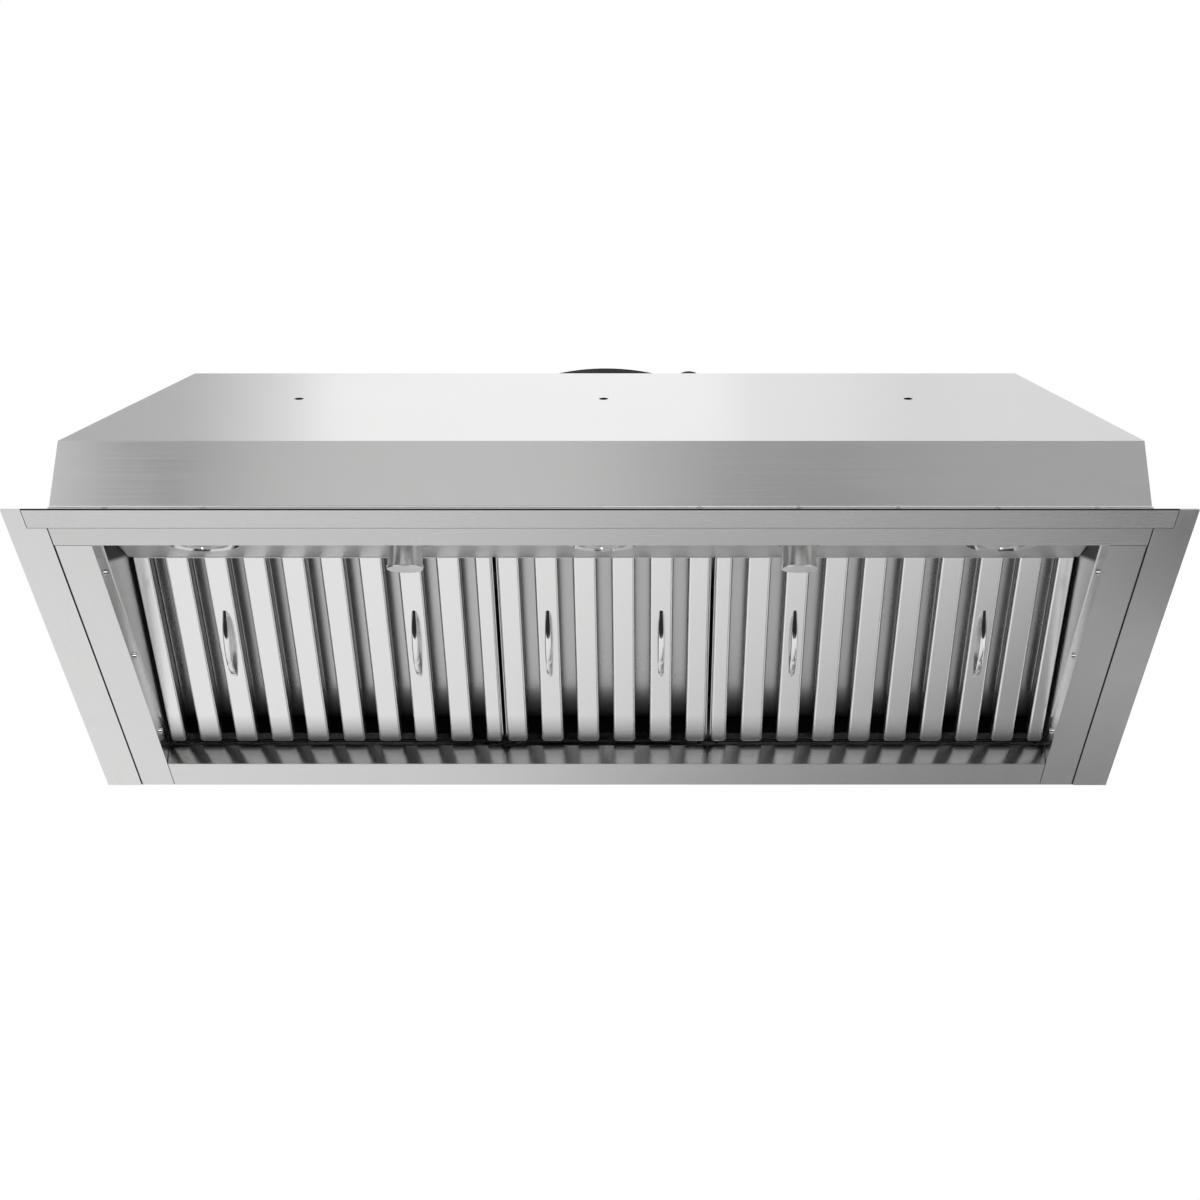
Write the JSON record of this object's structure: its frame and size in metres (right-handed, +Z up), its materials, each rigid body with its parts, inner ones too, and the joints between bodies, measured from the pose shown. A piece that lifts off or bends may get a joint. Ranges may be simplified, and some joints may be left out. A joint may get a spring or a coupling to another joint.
{
  "type": "range hood insert",
  "caption": "Wide stainless steel range hood insert with a tapered casing, flush trim flange, baffle filters with bow handles, round lamps, control knobs and a top duct collar.",
  "frame": {"origin": "centre of the overall outline in plan, on the underside of the front trim", "axes": "+X to the right seen from the front, +Y to the rear wall, +Z up to the duct"},
  "size_m": [1.169, 0.606, 0.3555],
  "materials": {
    "casing_steel": "satin, grain along the width",
    "trim_steel": "satin, grain along each angle",
    "frame_steel": "satin",
    "filter_steel": "bright",
    "handle_steel": "bright pressed strip",
    "knob_metal": "satin turned metal with a bright rim",
    "screw_steel": "bright",
    "lamp_metal": "bright",
    "lamp_glass": "frosted",
    "lamp_body": "plain",
    "collar_black": "black satin",
    "damper_metal": "plain",
    "zinc_sheet": "zinc coated",
    "motor_paint": "black",
    "black_plastic": "black moulded"
  },
  "bodies": {
    "hood": {"front_panel": "casing_steel", "left_side_panel": "casing_steel", "right_side_panel": "casing_steel", "rear_panel": "casing_steel", "top_panel": "casing_steel", "front_trim": "trim_steel", "left_trim": "trim_steel", "right_trim": "trim_steel", "front_base_strip": "frame_steel", "left_base_strip": "frame_steel", "right_base_strip": "frame_steel", "rear_base_strip": "frame_steel", "lamp_panel": "frame_steel", "trim_screws": "screw_steel", "wall_screws": "screw_steel", "collar_screws": "screw_steel", "left_lamp_bezel": "lamp_metal", "left_lamp_lens": "lamp_glass", "left_lamp_module": "lamp_body", "centre_lamp_bezel": "lamp_metal", "centre_lamp_lens": "lamp_glass", "centre_lamp_module": "lamp_body", "right_lamp_bezel": "lamp_metal", "right_lamp_lens": "lamp_glass", "right_lamp_module": "lamp_body", "fan_switch": "black_plastic", "light_switch": "black_plastic", "knob_rings": "knob_metal", "filter_hinge_rod": "frame_steel", "filter_catches": "frame_steel", "duct_collar": "collar_black", "damper_spindle": "screw_steel", "blower_scroll": "zinc_sheet", "blower_inlet_rings": "zinc_sheet", "motor_bracket": "zinc_sheet", "blower_motor": "motor_paint", "junction_box": "zinc_sheet", "junction_box_cover": "zinc_sheet", "lamp_driver": "black_plastic", "cable_gland": "black_plastic"},
    "left_filter": {"left_filter_frame": "filter_steel", "left_filter_lower_baffles": "filter_steel", "left_filter_upper_baffles": "filter_steel", "left_filter_handles": "handle_steel"},
    "centre_filter": {"centre_filter_frame": "filter_steel", "centre_filter_lower_baffles": "filter_steel", "centre_filter_upper_baffles": "filter_steel", "centre_filter_handles": "handle_steel"},
    "right_filter": {"right_filter_frame": "filter_steel", "right_filter_lower_baffles": "filter_steel", "right_filter_upper_baffles": "filter_steel", "right_filter_handles": "handle_steel"},
    "fan_knob_body": {"fan_knob": "knob_metal", "fan_spindle": "screw_steel"},
    "light_knob_body": {"light_knob": "knob_metal", "light_spindle": "screw_steel"},
    "blower_rotor": {"blower_wheel": "damper_metal", "motor_shaft": "screw_steel"},
    "front_flap": {"front_damper_flap": "damper_metal"},
    "rear_flap": {"rear_damper_flap": "damper_metal"}
  },
  "joints": [
    {"name": "left_filter_drop", "type": "hinge", "parent": "hood", "child": "left_filter", "pos_m": [-0.3115, 0.2432, 0.0295], "axis": [1, 0, 0], "range_deg": [0, 60]},
    {"name": "centre_filter_drop", "type": "hinge", "parent": "hood", "child": "centre_filter", "pos_m": [0, 0.2432, 0.0295], "axis": [1, 0, 0], "range_deg": [0, 60]},
    {"name": "right_filter_drop", "type": "hinge", "parent": "hood", "child": "right_filter", "pos_m": [0.3115, 0.2432, 0.0295], "axis": [1, 0, 0], "range_deg": [0, 60]},
    {"name": "fan_knob_turn", "type": "hinge", "parent": "hood", "child": "fan_knob_body", "pos_m": [-0.204, -0.14561, 0.06141], "axis": [0, -0.3289, 0.9444], "range_deg": [0, 240]},
    {"name": "light_knob_turn", "type": "hinge", "parent": "hood", "child": "light_knob_body", "pos_m": [0.204, -0.14561, 0.06141], "axis": [0, -0.3289, 0.9444], "range_deg": [0, 120]},
    {"name": "blower_spin", "type": "hinge", "parent": "hood", "child": "blower_rotor", "pos_m": [0, 0.053, 0.2095], "axis": [1, 0, 0], "continuous": true},
    {"name": "front_flap_lift", "type": "hinge", "parent": "hood", "child": "front_flap", "pos_m": [0, 0.1135, 0.3305], "axis": [-1, 0, 0], "range_deg": [0, 75]},
    {"name": "rear_flap_lift", "type": "hinge", "parent": "hood", "child": "rear_flap", "pos_m": [0, 0.1135, 0.3305], "axis": [1, 0, 0], "range_deg": [0, 75]}
  ]
}
